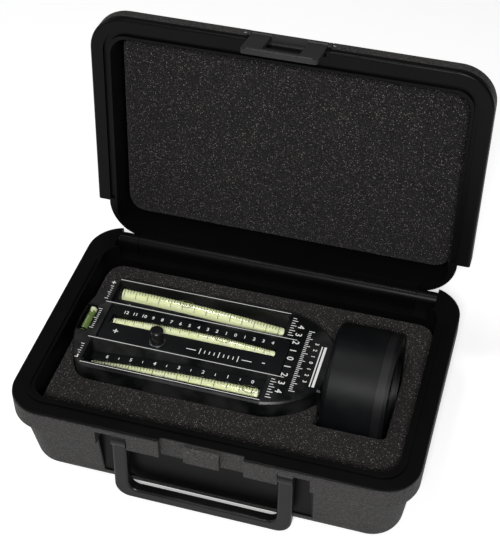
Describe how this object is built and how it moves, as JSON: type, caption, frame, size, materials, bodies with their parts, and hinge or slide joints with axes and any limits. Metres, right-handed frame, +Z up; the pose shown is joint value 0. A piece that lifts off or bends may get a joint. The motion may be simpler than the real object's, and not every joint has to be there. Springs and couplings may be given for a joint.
{
  "type": "camber caster gauge",
  "caption": "Magnetic bubble gauge for wheel camber and caster angles, lying in its open foam-lined carrying case with hinged lid, flip latch and loop handle.",
  "frame": {"origin": "centre of the case's underside", "axes": "+X along the case towards the magnetic adapter, +Y towards the lid's hinge, +Z up out of the case"},
  "size_m": [0.236, 0.2024, 0.2108],
  "materials": {
    "case_plastic": "textured blow-moulded polyethylene, charcoal black",
    "foam_dark": "open-cell polyurethane foam, dark charcoal",
    "handle_plastic": "smooth black moulding",
    "latch_plastic": "smooth dark grey moulding",
    "pin_steel": "bright drawn steel",
    "gauge_black": "satin black paint over cast aluminium",
    "scale_black": "matt black moulding with white figures",
    "vial_clear": "clear acrylic tube",
    "vial_fluid": "clear yellow-green spirit",
    "vial_fluid_green": "clear green spirit",
    "plug_white": "pale end plug",
    "zinc_steel": "bright zinc plate",
    "knob_black": "fluted black moulding",
    "spring_steel": "spring wire",
    "insert_brass": "turned brass",
    "adapter_black": "satin black, turned",
    "magnet_grey": "ferrite ring, dark grey"
  },
  "bodies": {
    "case_base": {"base_shell": "case_plastic", "base_foam": "foam_dark", "hinge_pin": "pin_steel"},
    "lid": {"lid_shell": "case_plastic", "lid_foam": "foam_dark", "latch_pin": "pin_steel"},
    "latch": {"latch_plate": "latch_plastic"},
    "handle": {"carry_handle": "handle_plastic"},
    "gauge": {"gauge_body": "gauge_black", "base_cover": "scale_black", "cover_screws": "zinc_steel", "bed_screws": "zinc_steel", "camber_bed_rear": "scale_black", "camber_bed_front": "scale_black", "camber_tube_rear": "vial_clear", "camber_tube_front": "vial_clear", "camber_fluid_rear": "vial_fluid", "camber_fluid_front": "vial_fluid", "camber_plugs": "plug_white", "end_vial_tube": "vial_clear", "end_vial_fluid": "vial_fluid_green", "end_vial_plug": "plug_white", "end_vial_holder": "scale_black", "carrier_pin": "pin_steel", "adjuster_insert": "insert_brass", "adjuster_spring": "spring_steel", "adapter_stud": "zinc_steel", "neck_collar": "zinc_steel", "stud_washer": "zinc_steel", "stud_nut": "zinc_steel"},
    "carrier": {"caster_carrier": "scale_black", "caster_tube": "vial_clear", "caster_fluid": "vial_fluid", "caster_plug": "plug_white"},
    "thrust_washer": {"adjuster_washer": "zinc_steel"},
    "knob": {"adjuster_knob": "knob_black", "adjuster_screw": "zinc_steel"},
    "adapter": {"adapter_cup": "adapter_black", "magnet_ring": "magnet_grey", "pole_ring": "adapter_black", "face_screws": "zinc_steel"}
  },
  "joints": [
    {"name": "lid_hinge", "type": "hinge", "parent": "case_base", "child": "lid", "pos_m": [0, 0.0734, 0.0522], "axis": [-1, 0, 0], "range_deg": [-96, 0]},
    {"name": "latch_hinge", "type": "hinge", "parent": "lid", "child": "latch", "pos_m": [0, 0.10207, 0.20253], "axis": [-1, 0, 0], "range_deg": [-8, 100]},
    {"name": "handle_hinge", "type": "hinge", "parent": "case_base", "child": "handle", "pos_m": [0, -0.0765, 0.048], "axis": [-1, 0, 0], "range_deg": [0, 100]},
    {"name": "gauge_lift", "type": "slide", "parent": "case_base", "child": "gauge", "axis": [0, 0, 1], "range_m": [0, 0.07]},
    {"name": "adapter_turn", "type": "hinge", "parent": "gauge", "child": "adapter", "pos_m": [0.0535, 0.004, 0.04], "axis": [1, 0, 0], "continuous": true},
    {"name": "carrier_tilt", "type": "hinge", "parent": "gauge", "child": "carrier", "pos_m": [0.0215, 0.004, 0.0445], "axis": [0, 1, 0], "range_deg": [-1.65, 1.65], "deforming": ["adjuster_spring"]},
    {"name": "adjuster_travel", "type": "slide", "parent": "gauge", "child": "thrust_washer", "axis": [0, 0, 1], "range_m": [-0.0022, 0.0022]},
    {"name": "knob_turn", "type": "hinge", "parent": "thrust_washer", "child": "knob", "pos_m": [-0.051, -0.004, 0.0514], "axis": [0, 0, 1], "range_deg": [-1080, 1080]}
  ],
  "couplings": [
    {"joint": "adjuster_travel", "follows": "carrier_tilt", "m_per_rad": 0.0725},
    {"joint": "knob_turn", "follows": "carrier_tilt", "ratio": 650.76}
  ]
}
